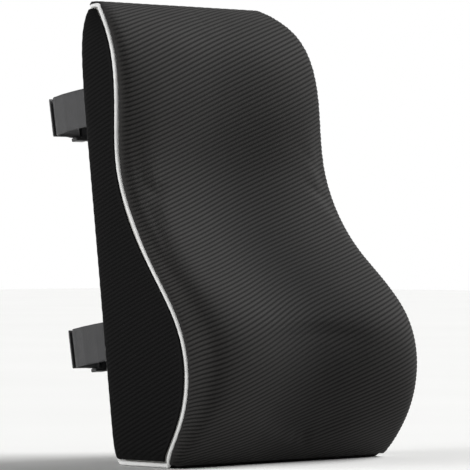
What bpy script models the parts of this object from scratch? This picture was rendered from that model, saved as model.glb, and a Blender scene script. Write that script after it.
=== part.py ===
"""A lumbar support cushion: moulded foam in a liner and a sewn, piped, zipped cover, with two strap loops.

Metres, +Z up. X runs across the width, the user's back rests on the -Y side, the straps are on the +Y side.
The origin is on the floor under the middle of the base, and the flat back leans back by LEAN.
"""

import math

import bmesh
import bpy
from mathutils import Matrix, Vector

# Foam core
CORE_HEIGHT = 0.446
BASE_HALF_WIDTH = 0.152
SIDE_TAPER = 0.042  # how much narrower each side gets per metre of height
LEAN = math.radians(9.5)
BACK_FOOT = 0.0045  # how far behind the origin the core's back meets its base
SIDE_PUFF = 0.0015
BACK_CORNER_CUT = 0.006
BACK_CORNER_DEPTH = 0.008

# The core's sections, from the base to the top. Height is a share of CORE_HEIGHT, the rest are metres:
# depth of the piped seam, how far the front edge stands past it, how far the side wings stand past that edge,
# how deep the spine channel lies below the wings, and how far the side is drawn in.
SECTIONS = (
    (0.000, 0.071, 0.008, 0.000, 0.001, 0.005),
    (0.022, 0.078, 0.012, 0.002, 0.003, 0.000),
    (0.103, 0.104, 0.020, 0.006, 0.008, 0.000),
    (0.210, 0.116, 0.026, 0.014, 0.013, 0.000),
    (0.315, 0.1068, 0.028, 0.018, 0.016, 0.000),
    (0.416, 0.078, 0.021, 0.009, 0.013, 0.000),
    (0.517, 0.0545, 0.012, 0.005, 0.010, 0.000),
    (0.640, 0.0415, 0.010, 0.003, 0.008, 0.000),
    (0.764, 0.0498, 0.010, 0.003, 0.006, 0.000),
    (0.876, 0.0518, 0.009, 0.003, 0.004, 0.001),
    (0.954, 0.0378, 0.010, 0.003, 0.002, 0.006),
    (1.000, 0.012, 0.010, 0.000, 0.000, 0.022),
)
COLUMNS = (-1.0, -0.89, -0.52, 0.0, 0.52, 0.89, 1.0)  # cage columns, as shares of the half width
WING_RISE = (0.0, 0.85, 1.0, 1.0, 1.0, 0.85, 0.0)
CHANNEL_SHARE = (0.0, 0.0, 0.0, 1.0, 0.0, 0.0, 0.0)
CROWN_FADE = (1.0, 0.6, 0.3, 0.0, 0.0)  # how much of the crown each depth station keeps across top and base

# Layers, measured outwards from the foam
FIT_GAP = 0.0004
LINER_THICKNESS = 0.0008
MESH_THICKNESS = 0.003  # spacer mesh of the front and the base
PLAIN_THICKNESS = 0.0016  # plain cloth of the sides and the back
LINER_SLIT_HALF_WIDTH = 0.075
PIPING_RADIUS = 0.00225
SEAM_GAP = 0.0008  # from a plain seam's line to each panel's edge
EDGE_LIFT = 0.0003  # extra lift of a panel's edge over the liner
CORNER_LIFT = 0.0013  # and of its corners, where the foam turns both ways
BACK_CROWN = 0.0012  # how far the cloth of the back stands off in its middle
CUT_SNAP = 0.002  # a corner of the cloth this near the zip is moved onto its line
BORDER_FOLLOW = 0.6  # how far the cloth beside a border follows when the border draws back from its seam

# Webbing and its loops
WEBBING_WIDTH = 0.038
WEBBING_THICKNESS = 0.0018
UPPER_STRAP_DROP = 0.095  # from the core's top down to the middle of the upper strap
LOWER_STRAP_HEIGHT = 0.121
STRAP_REACH = 0.060  # from the foam's back to the webbing behind it
STRAP_BEND = 0.012
STRAP_BOW = 0.003  # how far the webbing bows outwards between the seam and the bend
TURN_STEPS = 5
LEFT_LAP = 0.024  # webbing sewn back on itself at the socket
TAIL_STOP = 0.050  # from the tail's hem to the right-hand bend
HEM_LENGTH = 0.012
HEM_TUCK = 0.0015  # how far the folded hem's end stays behind the layer under it
SEAM_TILT = math.radians(21)  # between the back seam's outward direction and straight back
BAR_CLEARANCE = 0.0015  # webbing runs straight this far past a bar
BOW_POINTS = ((0.3, 0.7), (0.6, 0.8))  # shares of the strap's reach and of its bow

# Side-release buckle, measured from its socket's outer end towards the plug
BUCKLE_FROM_BEND = 0.020
BUCKLE_WALL = 0.0033  # beside the webbing
SOCKET_LENGTH = 0.034
SOCKET_THICKNESS = 0.0084
BAR_LENGTH = 0.0035
BAR_THICKNESS = 0.0036
SOCKET_SLOT = 0.0047
CAVITY_THICKNESS = 0.0052
CAVITY_DEPTH = 0.022
COLLAR_LENGTH = 0.007
COLLAR_WALL = 0.0026
WINDOW_LENGTH = 0.012
WINDOW_DEPTH = 0.006
RUNNING_GAP = 0.0004
PLUG_GAP = 0.002
PLUG_BASE_LENGTH = 0.0105
PLUG_SLOT = 0.0085
TONGUE_HALF_WIDTH = 0.004
ARM_WIDTH = 0.0034
ARM_POCKET = 0.0078
PAD_PROUD = 0.0022  # how far the thumb pads stand past the collar's opening
PAD_SLOPE = 0.0050
EDGE_ROUND = 0.0008

# Keeper that slides along the doubled webbing
KEEPER_LENGTH = 0.008
KEEPER_WALL = 0.0016
KEEPER_FROM_HEM = 0.030

# Zip across the back
ZIP_HEIGHT = 0.062
ZIP_GAP = 0.011  # from the zip's centre line to each panel's cut edge
TAPE_THICKNESS = 0.0006
TAPE_SPLIT = 0.0008  # from the centre line to each tape's inner edge
COIL_SPLIT = 0.0005  # from the centre line to each coil
COIL_WIDTH = 0.0019
COIL_HEIGHT = 0.0015
COIL_END = 0.006  # from the tape's end to the coil's end
SLIDER_LENGTH = 0.011
SLIDER_WIDTH = 0.0085
PLATE_THICKNESS = 0.0010
WEB_THICKNESS = 0.0004  # between the slider's plates, along the split
BRIDGE_WIDTH = 0.0022
BRIDGE_THICKNESS = 0.0009
BRIDGE_REACH = 0.0026  # from the pull's pin to each leg of the bridge
BRIDGE_LEG = 0.0012
PIN_RADIUS = 0.0006
PULL_LENGTH = 0.030
PULL_WIDTH = 0.0072
PULL_THICKNESS = 0.0012
PULL_SLOT = 0.0062
PULL_RAIL = 0.0012
PULL_ROUND = 0.0003
STOP_LENGTH = 0.0022

LINER_TOP = FIT_GAP + LINER_THICKNESS
PANEL_LIFT = LINER_TOP + FIT_GAP
MESH_OUTER = PANEL_LIFT + MESH_THICKNESS
PLAIN_OUTER = PANEL_LIFT + PLAIN_THICKNESS
PIPING_LIFT = PANEL_LIFT + PIPING_RADIUS
PIPING_CLEARANCE = PIPING_RADIUS + 3 * FIT_GAP
STRAP_ROOM = WEBBING_THICKNESS + 4 * FIT_GAP
LAP = 0.0002  # how far joined shapes run into each other
OVERCUT = 0.002  # how far a cutter runs past what it cuts
FRONT, LEFT, RIGHT, BACK, BASE = range(5)
SIDES = (LEFT, RIGHT)


def clear_scene():
    for obj in list(bpy.data.objects):
        bpy.data.objects.remove(obj)


def new_collection(name, shown=True):
    collection = bpy.data.collections.new(name)
    bpy.context.scene.collection.children.link(collection)
    collection.hide_render = not shown
    return collection


def new_material(name, color, roughness, metallic=0.0):
    material = bpy.data.materials.new(name)
    material.use_nodes = True
    shader = material.node_tree.nodes["Principled BSDF"]
    shader.inputs["Base Color"].default_value = (*color, 1.0)
    shader.inputs["Roughness"].default_value = roughness
    shader.inputs["Metallic"].default_value = metallic
    return material


def add_object(name, data, material, parent=None, location=(0, 0, 0), rotation=(0, 0, 0)):
    """Links an object to the cushion's collection, with its material and place."""
    obj = bpy.data.objects.new(name, data)
    cushion.objects.link(obj)
    if material:
        data.materials.clear()
        data.materials.append(material)
    obj.parent = parent
    obj.location = location
    obj.rotation_euler = rotation
    return obj


def mesh_from(bm, name):
    mesh = bpy.data.meshes.new(name)
    bm.to_mesh(mesh)
    bm.free()
    return mesh


def round_shading(mesh, angle=35):
    mesh.shade_smooth()
    mesh.set_sharp_from_angle(angle=math.radians(angle))


# --- The foam's form -------------------------------------------------------------------------------------


def back_y(z):
    """Where the core's back plane is at a height above the floor."""
    return BACK_FOOT + z * math.tan(LEAN)


def half_width(z):
    return BASE_HALF_WIDTH - SIDE_TAPER * z


def form_point(i, j, k):
    """Cage point at a column, a row and a depth station: front edge, seam, behind it, near the back, back."""
    share, depth, roll, wing, channel, inset = SECTIONS[k]
    height = share * CORE_HEIGHT
    behind = depth - roll
    stations = (depth + roll, depth, behind, min(BACK_CORNER_DEPTH, behind / 2), 0.0)
    crown = wing * WING_RISE[i] - channel * CHANNEL_SHARE[i]
    side = half_width(height) - inset
    side += (0.0, 0.0, SIDE_PUFF, SIDE_PUFF, -BACK_CORNER_CUT)[j]
    z = MESH_OUTER + height
    return Vector((COLUMNS[i] * side, back_y(z) - stations[j] - crown * CROWN_FADE[j], z))


def face_region(face, last_row):
    """Which panel of the cover lies over a cage face, from the face's middle in cage indices."""
    i, j, k = face.calc_center_median()
    last_column, back_station = len(COLUMNS) - 1, len(CROWN_FADE) - 1
    if k < 0.01:
        return BASE
    if k > last_row - 0.01 or j < 0.01:
        return FRONT
    if j > back_station - 0.01:
        return BACK
    if j < 1:
        return FRONT
    return LEFT if i < last_column / 2 else RIGHT


def make_form():
    """The foam's surface: a box cut into rows and columns, shaped by the sections and smoothed once.

    Returns a triangulated bmesh whose material indices say which panel covers each face.
    """
    counts = (len(COLUMNS) - 1, len(CROWN_FADE) - 1, len(SECTIONS) - 1)
    bm = bmesh.new()
    bmesh.ops.create_cube(bm, size=1.0, matrix=Matrix.Translation((0.5, 0.5, 0.5)))
    bmesh.ops.scale(bm, vec=counts, verts=bm.verts)
    for axis, count in enumerate(counts):
        for cut in range(1, count):
            spot, normal = Vector((0, 0, 0)), Vector((0, 0, 0))
            spot[axis], normal[axis] = cut, 1
            everything = bm.verts[:] + bm.edges[:] + bm.faces[:]
            bmesh.ops.bisect_plane(bm, geom=everything, plane_co=spot, plane_no=normal, dist=1e-5)
    for face in bm.faces:
        face.material_index = face_region(face, counts[2])
    for vert in bm.verts:
        vert.co = form_point(*(round(c) for c in vert.co))
    bmesh.ops.recalc_face_normals(bm, faces=bm.faces)
    cage = bpy.data.objects.new("form_cage", mesh_from(bm, "form_cage"))
    for _ in range(5):
        cage.data.materials.append(None)
    guides.objects.link(cage)
    smooth = cage.modifiers.new("smooth", "SUBSURF")
    smooth.levels = smooth.render_levels = 1
    bpy.context.view_layer.update()
    smoothed = bpy.data.meshes.new_from_object(cage.evaluated_get(bpy.context.evaluated_depsgraph_get()))
    cage.hide_render = True
    cage.display_type = "WIRE"
    form = bmesh.new()
    form.from_mesh(smoothed)
    bmesh.ops.triangulate(form, faces=form.faces)
    form.normal_update()
    return form


def regions_at(vert):
    return {face.material_index for face in vert.link_faces}


def seam_inset(regions, edge_regions):
    """How far a panel's edge stays back from its seam: clear of piping, straps or the next panel."""
    if not edge_regions & set(SIDES):
        return SEAM_GAP
    if BACK in regions:
        return PIPING_CLEARANCE + STRAP_ROOM
    return PIPING_CLEARANCE


def edge_moves(patch, region, shared):
    """How each edge point of a patch moves in the surface, back from its seams, and how far it is lifted."""
    pulls = {}
    for edge in patch.edges:
        if not edge.is_boundary:
            continue
        middle = (edge.verts[0].co + edge.verts[1].co) / 2
        along = (edge.verts[1].co - edge.verts[0].co).normalized()
        inwards = edge.link_faces[0].calc_center_median() - middle
        inwards = (inwards - inwards.dot(along) * along).normalized()
        both = shared[edge.verts[0].index] & shared[edge.verts[1].index]
        distance = seam_inset({region}, both)
        for vert in edge.verts:
            pulls.setdefault(vert, []).append((inwards, distance))
    moves = {}
    for vert, sides in pulls.items():
        (first, near), (second, far) = sides[0], sides[-1]
        turn = first.dot(second)
        if turn > 0.9:
            moves[vert] = ((first + second).normalized() * (near + far) / 2, EDGE_LIFT)
        else:
            spread = 1 - turn * turn
            corner = first * (near - turn * far) / spread + second * (far - turn * near) / spread
            moves[vert] = (corner, CORNER_LIFT)
    return moves


def region_patch(form, kept):
    """A copy of the form's faces in the kept regions, with the form's own normals and neighbours."""
    patch = form.copy()
    patch.verts.index_update()
    normals = [vert.normal.copy() for vert in patch.verts]
    shared = [regions_at(vert) for vert in patch.verts]
    lost = [face for face in patch.faces if face.material_index not in kept]
    form_index = patch.verts.layers.int.new("form_index")
    for vert in patch.verts:
        vert[form_index] = vert.index
    bmesh.ops.delete(patch, geom=lost, context="FACES")
    patch.verts.index_update()
    normals = [normals[vert[form_index]] for vert in patch.verts]
    shared = [shared[vert[form_index]] for vert in patch.verts]
    return patch, normals, shared


def add_shell(name, patch, thickness, material):
    """An object that gives an open patch its thickness, outwards."""
    for face in patch.faces:
        face.material_index = 0
    obj = add_object(name, mesh_from(patch, name), material)
    wall = obj.modifiers.new("wall", "SOLIDIFY")
    wall.thickness = thickness
    wall.offset = 1.0
    round_shading(obj.data)
    return obj


def back_crown(point):
    """How far the back's cloth stands off at a point: most in its middle, nothing at its edges."""
    across = point.x / half_width(point.z)
    up = 2 * (point.z - MESH_OUTER) / CORE_HEIGHT - 1
    return BACK_CROWN * max(0.0, 1 - across * across) * max(0.0, 1 - up * up)


def neighbours(vert):
    return [edge.other_vert(vert) for edge in vert.link_edges]


def add_panel(name, form, region, thickness, material, cut=None):
    """One panel of the cover. cut is an optional plane (point, normal): what lies beyond it is taken off."""
    patch, normals, shared = region_patch(form, {region})
    moves = edge_moves(patch, region, shared)
    for vert, normal in zip(patch.verts[:], normals):
        move, lift = moves.get(vert, (Vector(), 0.0))
        if region == BACK and vert not in moves:
            lift = back_crown(vert.co)
            beside = [moves[other][0] for other in neighbours(vert) if other in moves]
            move = sum(beside, Vector()) * (BORDER_FOLLOW / max(len(beside), 1))
        vert.co += normal * (PANEL_LIFT + lift) + move
    if cut:
        for vert in patch.verts:
            past = (vert.co - cut[0]).dot(cut[1])
            if abs(past) < CUT_SNAP:
                vert.co -= cut[1] * past
        everything = patch.verts[:] + patch.edges[:] + patch.faces[:]
        bmesh.ops.bisect_plane(
            patch, geom=everything, plane_co=cut[0], plane_no=cut[1], dist=1e-6, clear_outer=True
        )
    return add_shell(name, patch, thickness, material)


def add_liner(form, material):
    """The inner bag, with a slit in its base through which the foam goes in."""
    patch, normals, _ = region_patch(form, {FRONT, LEFT, RIGHT, BACK, BASE})
    for vert, normal in zip(patch.verts[:], normals):
        vert.co += normal * FIT_GAP
    slit = [
        face
        for face in patch.faces
        if face.material_index == BASE and abs(face.calc_center_median().x) < LINER_SLIT_HALF_WIDTH
    ]
    bmesh.ops.delete(patch, geom=slit, context="FACES")
    return add_shell("inner_liner", patch, LINER_THICKNESS, material)


def seam_loop(form, region):
    """The points of the seam round a side panel, in order, lifted to the piping's centre line."""
    edges = [
        edge
        for edge in form.edges
        if len({face.material_index for face in edge.link_faces} & {region}) == 1
        and len({face.material_index for face in edge.link_faces}) == 2
    ]
    start = edges[0].verts[0]
    loop, vert, last = [start], edges[0].verts[1], edges[0]
    while vert is not start:
        loop.append(vert)
        last = next(edge for edge in edges if vert in edge.verts and edge is not last)
        vert = last.other_vert(vert)
    return [vert.co + vert.normal * PIPING_LIFT for vert in loop]


def tube_curve(name, points, radius, sides, cyclic):
    curve = bpy.data.curves.new(name, "CURVE")
    curve.dimensions = "3D"
    spline = curve.splines.new("POLY")
    spline.points.add(len(points) - 1)
    for spot, point in zip(spline.points, points):
        spot.co = (*point, 1.0)
    spline.use_cyclic_u = cyclic
    curve.bevel_depth = radius
    curve.bevel_resolution = (sides - 4) // 2
    curve.use_fill_caps = not cyclic
    return curve


# --- Shapes behind the back ------------------------------------------------------------------------------


def back_frame(name, height):
    """An empty on the core's back plane: its X runs across, its Y straight back and its Z up the back."""
    empty = bpy.data.objects.new(name, None)
    cushion.objects.link(empty)
    empty.location = (0, back_y(height), height)
    empty.rotation_euler = (-LEAN, 0, 0)
    return empty


def box_mesh(name, low, high):
    """A box between two corners, from a primitive cube."""
    low, high = Vector(low), Vector(high)
    size = high - low
    bm = bmesh.new()
    place = Matrix.Translation((low + high) / 2) @ Matrix.Diagonal((*size, 1.0))
    bmesh.ops.create_cube(bm, size=1.0, matrix=place)
    return mesh_from(bm, name)


def cut_with(obj, name, low, high):
    """Takes a box-shaped space out of an object that stands in the same frame."""
    cutter = bpy.data.objects.new(name, box_mesh(name, low, high))
    cutters.objects.link(cutter)
    cutter.parent = obj.parent
    cutter.location = obj.location
    cutter.hide_render = True
    cutter.display_type = "WIRE"
    cut = obj.modifiers.new(name, "BOOLEAN")
    cut.operation = "DIFFERENCE"
    cut.object = cutter


def join_with(obj, name, mesh):
    """Adds a shape that overlaps an object and stands in the same frame."""
    helper = bpy.data.objects.new(name, mesh)
    cutters.objects.link(helper)
    helper.parent = obj.parent
    helper.location = obj.location
    helper.hide_render = True
    helper.display_type = "WIRE"
    join = obj.modifiers.new(name, "BOOLEAN")
    join.operation = "UNION"
    join.object = helper


def round_edges(obj, width=EDGE_ROUND, segments=1):
    bevel = obj.modifiers.new("round", "BEVEL")
    bevel.width = width
    bevel.segments = segments
    bevel.limit_method = "ANGLE"
    bevel.angle_limit = math.radians(50)


def arc(centre, radius, start, end, steps):
    """Points along an arc in the plan, from one angle to another, in degrees."""
    points = []
    for step in range(steps + 1):
        angle = math.radians(start + (end - start) * step / steps)
        points.append((centre[0] + radius * math.cos(angle), centre[1] + radius * math.sin(angle)))
    return points


def ribbon_outline(path, thickness):
    """The closed outline of a strip of webbing seen on its edge, along a path through its middle."""
    left, right = [], []
    for n, point in enumerate(path):
        before, after = Vector(path[max(n - 1, 0)]), Vector(path[min(n + 1, len(path) - 1)])
        here = Vector(point)
        into = (here - before).normalized() if n else (after - here).normalized()
        out = (after - here).normalized() if n < len(path) - 1 else into
        across = Vector((-(into + out).y, (into + out).x)).normalized()
        reach = thickness / 2 / max(across.dot(Vector((-into.y, into.x))), 0.5)
        left.append(here + across * reach)
        right.append(here - across * reach)
    return left + right[::-1]


def add_webbing(name, outline, parent, material):
    """Webbing as a flat outline, extruded to the webbing's width."""
    curve = bpy.data.curves.new(name, "CURVE")
    curve.dimensions = "2D"
    curve.fill_mode = "BOTH"
    curve.extrude = WEBBING_WIDTH / 2
    spline = curve.splines.new("POLY")
    spline.points.add(len(outline) - 1)
    for spot, point in zip(spline.points, outline):
        spot.co = (point[0], point[1], 0.0, 1.0)
    spline.use_cyclic_u = True
    return add_object(name, curve, material, parent)


def outline_prism(name, outline, low, high):
    """A closed outline in the back's plane (x, z), made solid between two depths."""
    bm = bmesh.new()
    corners = [bm.verts.new((x, low, z)) for x, z in outline]
    face = bm.faces.new(corners)
    raised = bmesh.ops.extrude_face_region(bm, geom=[face])["geom"]
    moved = [item for item in raised if isinstance(item, bmesh.types.BMVert)]
    bmesh.ops.translate(bm, vec=(0, high - low, 0), verts=moved)
    bmesh.ops.recalc_face_normals(bm, faces=bm.faces)
    return mesh_from(bm, name)


# Sizes that the buckle, the webbing and the keeper share
SLOT_HALF = WEBBING_WIDTH / 2 + 2 * FIT_GAP
BUCKLE_HALF = SLOT_HALF + BUCKLE_WALL
CAVITY_HALF = BUCKLE_HALF - COLLAR_WALL
LAYER_OFFSET = BAR_THICKNESS / 2 + FIT_GAP + WEBBING_THICKNESS / 2  # webbing's middle beside a bar
LAYER_PITCH = WEBBING_THICKNESS + FIT_GAP  # between two layers that lie together
BUCKLE_Y = STRAP_REACH + LAYER_OFFSET
PLUG_START = SOCKET_LENGTH + PLUG_GAP
ARM_ROOT = PLUG_START + PLUG_BASE_LENGTH - BAR_LENGTH
PLUG_BAR = PLUG_START + PLUG_BASE_LENGTH + PLUG_SLOT
PLUG_END = PLUG_BAR + BAR_LENGTH


def seam_x(form, height):
    """The outer reach of the back seam at a height, on the core."""
    points = sorted(
        (vert.co.z, vert.co.x) for vert in form.verts if {RIGHT, BACK} <= regions_at(vert)
    )
    below = max(p for p in points if p[0] <= height)
    above = min(p for p in points if p[0] > height)
    share = (height - below[0]) / (above[0] - below[0])
    return below[1] + share * (above[1] - below[1])


def loop_corner(seam, side):
    """The webbing's path from the seam to the end of its bend, on the side given by its sign."""
    centre = (seam - STRAP_BEND, STRAP_REACH - STRAP_BEND)
    start = [(seam, PANEL_LIFT)]
    start += [(seam + STRAP_BOW * bow, STRAP_REACH * reach) for reach, bow in BOW_POINTS]
    bend = arc(centre, STRAP_BEND, 0, 90, TURN_STEPS)
    return [(side * x, y) for x, y in start + bend]


def wrap(bar_middle, towards, lap):
    """The path of webbing round a bar and back over itself: towards is the side the slot is on."""
    turn = LAYER_OFFSET
    edge = bar_middle + towards * BAR_LENGTH / 2
    start = (-90, 90) if towards > 0 else (270, 90)
    points = arc((edge, STRAP_REACH + turn), turn, *start, TURN_STEPS + 1)
    away = bar_middle - towards * (BAR_LENGTH / 2 + BAR_CLEARANCE)
    points += [(away, STRAP_REACH + 2 * turn)]
    settled = away - towards * 3 * turn
    points += [(settled, STRAP_REACH + LAYER_PITCH), (settled - towards * lap, STRAP_REACH + LAYER_PITCH)]
    return points


def add_socket(name, parent, start, material):
    """The buckle's socket: strap bar, slot, hollow with a collar at its mouth, and a window at each side."""
    half_t = SOCKET_THICKNESS / 2
    low = (start, BUCKLE_Y - half_t, -BUCKLE_HALF)
    high = (start + SOCKET_LENGTH, BUCKLE_Y + half_t, BUCKLE_HALF)
    obj = add_object(name, box_mesh(name, low, high), material, parent)
    round_edges(obj)
    slot_start, slot_end = start + BAR_LENGTH, start + BAR_LENGTH + SOCKET_SLOT
    cut_with(obj, name + "_slot", (slot_start, BUCKLE_Y - half_t - OVERCUT, -SLOT_HALF),
             (slot_end, BUCKLE_Y + half_t + OVERCUT, SLOT_HALF))
    for sign, side in ((-1, "front"), (1, "rear")):
        faces = sorted((BUCKLE_Y + sign * BAR_THICKNESS / 2, BUCKLE_Y + sign * (half_t + OVERCUT)))
        cut_with(obj, f"{name}_relief_{side}", (start - OVERCUT, faces[0], -SLOT_HALF),
                 (slot_start + 0.0005, faces[1], SLOT_HALF))
    mouth = start + SOCKET_LENGTH
    cavity = CAVITY_THICKNESS / 2
    cut_with(obj, name + "_cavity", (mouth - CAVITY_DEPTH, BUCKLE_Y - cavity, -CAVITY_HALF),
             (mouth + OVERCUT, BUCKLE_Y + cavity, CAVITY_HALF))
    window_end = mouth - COLLAR_LENGTH
    for sign, side in ((-1, "bottom"), (1, "top")):
        heights = sorted((sign * (BUCKLE_HALF - WINDOW_DEPTH), sign * (BUCKLE_HALF + OVERCUT)))
        cut_with(obj, f"{name}_window_{side}",
                 (window_end - WINDOW_LENGTH, BUCKLE_Y - half_t - OVERCUT, heights[0]),
                 (window_end, BUCKLE_Y + half_t + OVERCUT, heights[1]))
    return obj


def add_plug(name, parent, start, material):
    """The buckle's plug: strap bar and slot, a base with a pocket for each arm, and a guide tongue."""
    half_t = CAVITY_THICKNESS / 2
    low = (start + PLUG_START, BUCKLE_Y - half_t, -BUCKLE_HALF)
    high = (start + PLUG_END, BUCKLE_Y + half_t, BUCKLE_HALF)
    obj = add_object(name, box_mesh(name, low, high), material, parent)
    round_edges(obj)
    base_end = start + PLUG_START + PLUG_BASE_LENGTH
    cut_with(obj, name + "_slot", (base_end, BUCKLE_Y - half_t - OVERCUT, -SLOT_HALF),
             (base_end + PLUG_SLOT, BUCKLE_Y + half_t + OVERCUT, SLOT_HALF))
    for sign, side in ((-1, "front"), (1, "rear")):
        faces = sorted((BUCKLE_Y + sign * BAR_THICKNESS / 2, BUCKLE_Y + sign * (half_t + OVERCUT)))
        cut_with(obj, f"{name}_relief_{side}", (start + PLUG_BAR - 0.0005, faces[0], -SLOT_HALF),
                 (start + PLUG_END + OVERCUT, faces[1], SLOT_HALF))
    for sign, side in ((-1, "bottom"), (1, "top")):
        middle = sign * arm_height()
        cut_with(obj, f"{name}_pocket_{side}",
                 (start + PLUG_START - OVERCUT, BUCKLE_Y - half_t - OVERCUT, middle - ARM_POCKET / 2),
                 (start + ARM_ROOT, BUCKLE_Y + half_t + OVERCUT, middle + ARM_POCKET / 2))
    reach = start + SOCKET_LENGTH - CAVITY_DEPTH + 0.003
    thin = half_t - RUNNING_GAP
    join_with(obj, name + "_tongue", box_mesh(
        name + "_tongue", (reach, BUCKLE_Y - thin, -TONGUE_HALF_WIDTH),
        (start + PLUG_START + 0.001, BUCKLE_Y + thin, TONGUE_HALF_WIDTH)))
    return obj


def arm_height():
    """Height of an arm's root above the buckle's middle."""
    return CAVITY_HALF - RUNNING_GAP - ARM_WIDTH - 0.002


def arm_outline(start, sign):
    """One springy arm with its thumb pad, in the back's plane, from its root to its nose and back."""
    root = start + ARM_ROOT - FIT_GAP
    shoulder = start + SOCKET_LENGTH - COLLAR_LENGTH - 2 * FIT_GAP
    nose = start + SOCKET_LENGTH - CAVITY_DEPTH + 0.0015
    middle = arm_height()
    inner, outer = middle - ARM_WIDTH / 2, middle + ARM_WIDTH / 2
    collar = CAVITY_HALF - RUNNING_GAP
    top = CAVITY_HALF + PAD_PROUD
    points = [
        (root, outer),
        (shoulder + COLLAR_LENGTH, collar - 0.0012),
        (shoulder, collar),
        (shoulder - PAD_SLOPE * 0.55, top - 0.0007),
        (shoulder - PAD_SLOPE, top),
        (nose + 0.0035, top - 0.0006),
        (nose, middle + 0.001),
        (nose, inner + 0.0012),
        (nose + 0.0035, inner + 0.001),
        (shoulder, inner),
        (root, inner),
    ]
    return [(x, sign * z) for x, z in points]


def add_arm(name, parent, start, sign, material):
    """An arm of the plug, with its origin where it flexes at its root."""
    pivot = Vector((start + ARM_ROOT, BUCKLE_Y, sign * arm_height()))
    half_t = CAVITY_THICKNESS / 2 - RUNNING_GAP
    mesh = outline_prism(name, arm_outline(start, sign), BUCKLE_Y - half_t, BUCKLE_Y + half_t)
    mesh.transform(Matrix.Translation(-pivot))
    return add_object(name, mesh, material, parent, pivot)


def add_keeper(name, parent, middle, material):
    """A flat ring round both layers of webbing."""
    low_y = STRAP_REACH - WEBBING_THICKNESS / 2 - RUNNING_GAP
    high_y = STRAP_REACH + LAYER_PITCH + WEBBING_THICKNESS / 2 + RUNNING_GAP
    half_z, half_x = SLOT_HALF, KEEPER_LENGTH / 2
    wall = KEEPER_WALL
    ring = box_mesh(name, (-half_x, low_y - wall, -half_z - wall), (half_x, high_y + wall, half_z + wall))
    obj = add_object(name, ring, material, parent, (middle, 0, 0))
    round_edges(obj)
    cut_with(obj, name + "_hole", (-half_x - OVERCUT, low_y, -half_z), (half_x + OVERCUT, high_y, half_z))
    return obj


def add_strap(prefix, form, height):
    """One loop: webbing from each back seam, joined behind the back by a side-release buckle."""
    frame = back_frame(prefix + "_strap_frame", height)
    seam = seam_x(form, height) + math.sin(SEAM_TILT) * PIPING_LIFT
    seam -= PIPING_RADIUS + 2 * FIT_GAP + WEBBING_THICKNESS / 2 + SIDE_TAPER * WEBBING_WIDTH / 2
    start = -seam + STRAP_BEND + BUCKLE_FROM_BEND
    left = loop_corner(seam, -1) + [(start - 2 * LAYER_OFFSET, STRAP_REACH)]
    left += wrap(start + BAR_LENGTH / 2, 1, LEFT_LAP - 2 * LAYER_OFFSET)
    add_webbing(prefix + "_strap_left", ribbon_outline(left, WEBBING_THICKNESS), frame, black_webbing)
    bar = start + PLUG_BAR + BAR_LENGTH / 2
    hem_end = seam - STRAP_BEND - TAIL_STOP
    right = loop_corner(seam, 1) + [(bar + BAR_LENGTH / 2 + 2 * LAYER_OFFSET, STRAP_REACH)]
    settled = bar + BAR_LENGTH / 2 + BAR_CLEARANCE + 3 * LAYER_OFFSET
    right += wrap(bar, -1, hem_end - HEM_LENGTH - settled)
    outline = ribbon_outline(right, WEBBING_THICKNESS)
    tip = len(right)
    thick = Vector((0, WEBBING_THICKNESS))
    far, near = outline[tip - 1], outline[tip]
    fold = Vector((HEM_LENGTH, 0))
    hem = [far + Vector((HEM_TUCK, 0)) + thick, far + fold + thick, near + fold]
    add_webbing(prefix + "_strap_right", outline[:tip] + hem + outline[tip:], frame, black_webbing)
    add_socket(prefix + "_buckle_socket", frame, start, black_plastic)
    add_plug(prefix + "_buckle_plug", frame, start, black_plastic)
    for sign, side in ((1, "top"), (-1, "bottom")):
        add_arm(f"{prefix}_buckle_arm_{side}", frame, start, sign, black_plastic)
    add_keeper(prefix + "_strap_keeper", frame, hem_end - HEM_LENGTH - KEEPER_FROM_HEM, black_plastic)


# --- Zip -------------------------------------------------------------------------------------------------


def add_zip(form):
    """A zip across the back between the two back panels, closed, with its slider at the left-hand end."""
    frame = back_frame("zip_frame", ZIP_HEIGHT)
    half = seam_x(form, ZIP_HEIGHT) - PIPING_CLEARANCE - STRAP_ROOM - 2 * FIT_GAP
    plate_low = PANEL_LIFT
    tape_low = plate_low + PLATE_THICKNESS + FIT_GAP
    tape_high = tape_low + TAPE_THICKNESS
    coil_low = tape_high + FIT_GAP / 2
    coil_high = coil_low + COIL_HEIGHT
    top_low = coil_high + FIT_GAP
    top_high = top_low + PLATE_THICKNESS
    coil_half = half - COIL_END
    for sign, side in ((1, "upper"), (-1, "lower")):
        edges = sorted((sign * TAPE_SPLIT, sign * (ZIP_GAP - 2 * FIT_GAP)))
        tape = box_mesh("zip_tape_" + side, (-half, tape_low, edges[0]), (half, tape_high, edges[1]))
        add_object("zip_tape_" + side, tape, black_tape, frame)
        edges = sorted((sign * COIL_SPLIT, sign * (COIL_SPLIT + COIL_WIDTH)))
        low, high = (-coil_half, coil_low, edges[0]), (coil_half, coil_high, edges[1])
        coil = box_mesh("zip_coil_" + side, low, high)
        add_object("zip_coil_" + side, coil, black_coil, frame)
    stop_half_height = COIL_SPLIT + COIL_WIDTH
    for side, sign in (("left", -1), ("right", 1)):
        spans = sorted((sign * (coil_half + FIT_GAP), sign * (coil_half + FIT_GAP + STOP_LENGTH)))
        low, high = (spans[0], coil_low, -stop_half_height), (spans[1], coil_high, stop_half_height)
        add_object("zip_stop_" + side, box_mesh("zip_stop_" + side, low, high), dark_metal, frame)
    nose = FIT_GAP - coil_half
    add_slider(frame, nose, plate_low, top_low)
    add_pull(frame, nose + SLIDER_LENGTH / 2, pin_depth(top_low))


def pin_depth(top_low):
    """How far behind the back the pull's pin is, lying on the slider's top plate."""
    return top_low + PLATE_THICKNESS + FIT_GAP + PULL_THICKNESS / 2


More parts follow.
